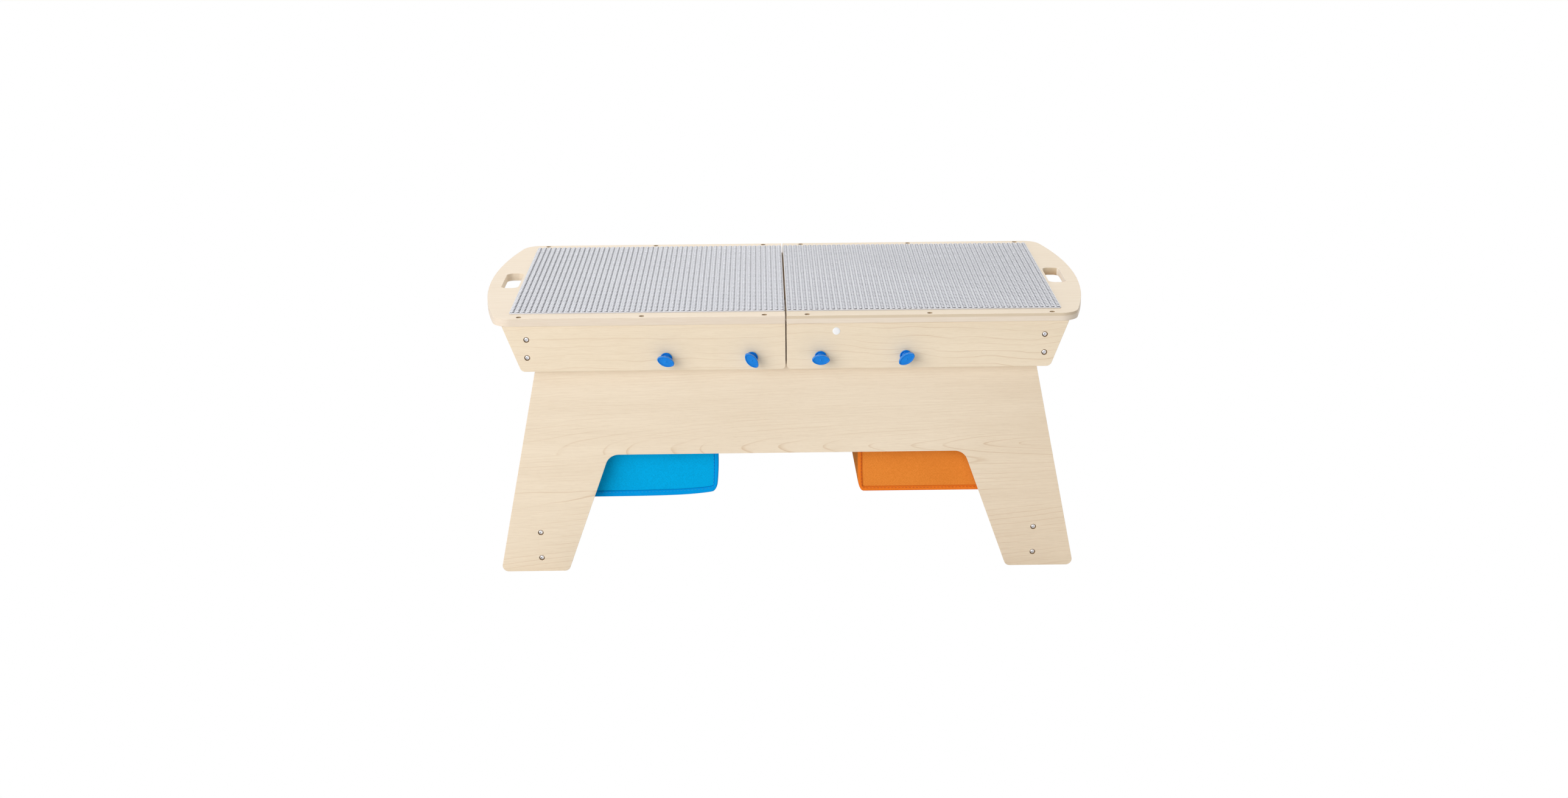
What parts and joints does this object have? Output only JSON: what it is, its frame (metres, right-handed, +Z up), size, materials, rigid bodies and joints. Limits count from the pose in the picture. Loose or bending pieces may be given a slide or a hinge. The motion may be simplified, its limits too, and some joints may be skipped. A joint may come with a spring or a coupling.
{
  "type": "children's play table",
  "caption": "Low play table with two sliding studded tops, clamped by wing knobs, over two cloth bins in runners between bridge-shaped leg panels.",
  "frame": {"origin": "on the floor under the middle of the seam between the two tops", "axes": "+X to the right along the table's length, +Y to the back, +Z up"},
  "size_m": [0.9038, 0.484, 0.4025],
  "materials": {
    "maple_top": "satin lacquered maple face",
    "maple_face": "satin lacquered maple face",
    "plate_plastic": "satin moulded plastic",
    "knob_plastic": "glossy moulded plastic",
    "screw_chrome": "bright plated steel",
    "dark_screw": "blackened steel",
    "plain_screw": "zinc plated steel",
    "clamp_steel": "zinc plated steel",
    "runner_aluminium": "mill finish",
    "frame_steel": "satin powder coat",
    "blue_cloth": "plain woven cloth",
    "orange_cloth": "plain woven cloth",
    "sticker_vinyl": "plain white vinyl"
  },
  "bodies": {
    "base": {"front_leg_panel": "maple_face", "back_leg_panel": "maple_face", "left_cross_rail": "maple_face", "right_cross_rail": "maple_face", "left_stretcher": "maple_face", "right_stretcher": "maple_face", "left_front_runner": "runner_aluminium", "left_back_runner": "runner_aluminium", "right_front_runner": "runner_aluminium", "right_back_runner": "runner_aluminium", "foot_screws": "screw_chrome", "rail_screws": "plain_screw", "runner_screws": "plain_screw"},
    "left_top": {"left_board": "maple_top", "left_stud_plate": "plate_plastic", "left_front_apron": "maple_face", "left_back_apron": "maple_face", "left_end_panel": "maple_face", "left_top_screws": "dark_screw", "left_apron_screws": "screw_chrome", "left_clamp_bolts": "clamp_steel", "left_washer_plates": "clamp_steel"},
    "right_top": {"right_board": "maple_top", "right_stud_plate": "plate_plastic", "right_front_apron": "maple_face", "right_back_apron": "maple_face", "right_end_panel": "maple_face", "right_top_screws": "dark_screw", "right_apron_screws": "screw_chrome", "right_clamp_bolts": "clamp_steel", "right_washer_plates": "clamp_steel", "sticker": "sticker_vinyl"},
    "left_bin": {"left_bin_bag": "blue_cloth", "left_bin_frame": "frame_steel"},
    "right_bin": {"right_bin_bag": "orange_cloth", "right_bin_frame": "frame_steel"},
    "left_front_outer_knob": {"left_front_outer_knob": "knob_plastic"},
    "left_front_inner_knob": {"left_front_inner_knob": "knob_plastic"},
    "right_front_outer_knob": {"right_front_outer_knob": "knob_plastic"},
    "right_front_inner_knob": {"right_front_inner_knob": "knob_plastic"},
    "left_back_outer_knob": {"left_back_outer_knob": "knob_plastic"},
    "left_back_inner_knob": {"left_back_inner_knob": "knob_plastic"},
    "right_back_outer_knob": {"right_back_outer_knob": "knob_plastic"},
    "right_back_inner_knob": {"right_back_inner_knob": "knob_plastic"}
  },
  "joints": [
    {"name": "left_top_slide", "type": "slide", "parent": "base", "child": "left_top", "axis": [-1, 0, 0], "range_m": [0, 0.16]},
    {"name": "right_top_slide", "type": "slide", "parent": "base", "child": "right_top", "axis": [1, 0, 0], "range_m": [0, 0.16]},
    {"name": "left_bin_slide", "type": "slide", "parent": "base", "child": "left_bin", "axis": [1, 0, 0], "range_m": [-0.15, 0.1]},
    {"name": "right_bin_slide", "type": "slide", "parent": "base", "child": "right_bin", "axis": [-1, 0, 0], "range_m": [-0.15, 0.1]},
    {"name": "left_front_outer_knob_turn", "type": "hinge", "parent": "left_top", "child": "left_front_outer_knob", "pos_m": [-0.174, -0.2233, 0.3365], "axis": [0, -1, 0], "range_deg": [0, 270]},
    {"name": "left_front_inner_knob_turn", "type": "hinge", "parent": "left_top", "child": "left_front_inner_knob", "pos_m": [-0.05, -0.2233, 0.3365], "axis": [0, -1, 0], "range_deg": [0, 270]},
    {"name": "right_front_outer_knob_turn", "type": "hinge", "parent": "right_top", "child": "right_front_outer_knob", "pos_m": [0.174, -0.2233, 0.3365], "axis": [0, -1, 0], "range_deg": [0, 270]},
    {"name": "right_front_inner_knob_turn", "type": "hinge", "parent": "right_top", "child": "right_front_inner_knob", "pos_m": [0.05, -0.2233, 0.3365], "axis": [0, -1, 0], "range_deg": [0, 270]},
    {"name": "left_back_outer_knob_turn", "type": "hinge", "parent": "left_top", "child": "left_back_outer_knob", "pos_m": [-0.174, 0.2233, 0.3365], "axis": [0, 1, 0], "range_deg": [0, 270]},
    {"name": "left_back_inner_knob_turn", "type": "hinge", "parent": "left_top", "child": "left_back_inner_knob", "pos_m": [-0.05, 0.2233, 0.3365], "axis": [0, 1, 0], "range_deg": [0, 270]},
    {"name": "right_back_outer_knob_turn", "type": "hinge", "parent": "right_top", "child": "right_back_outer_knob", "pos_m": [0.174, 0.2233, 0.3365], "axis": [0, 1, 0], "range_deg": [0, 270]},
    {"name": "right_back_inner_knob_turn", "type": "hinge", "parent": "right_top", "child": "right_back_inner_knob", "pos_m": [0.05, 0.2233, 0.3365], "axis": [0, 1, 0], "range_deg": [0, 270]}
  ]
}
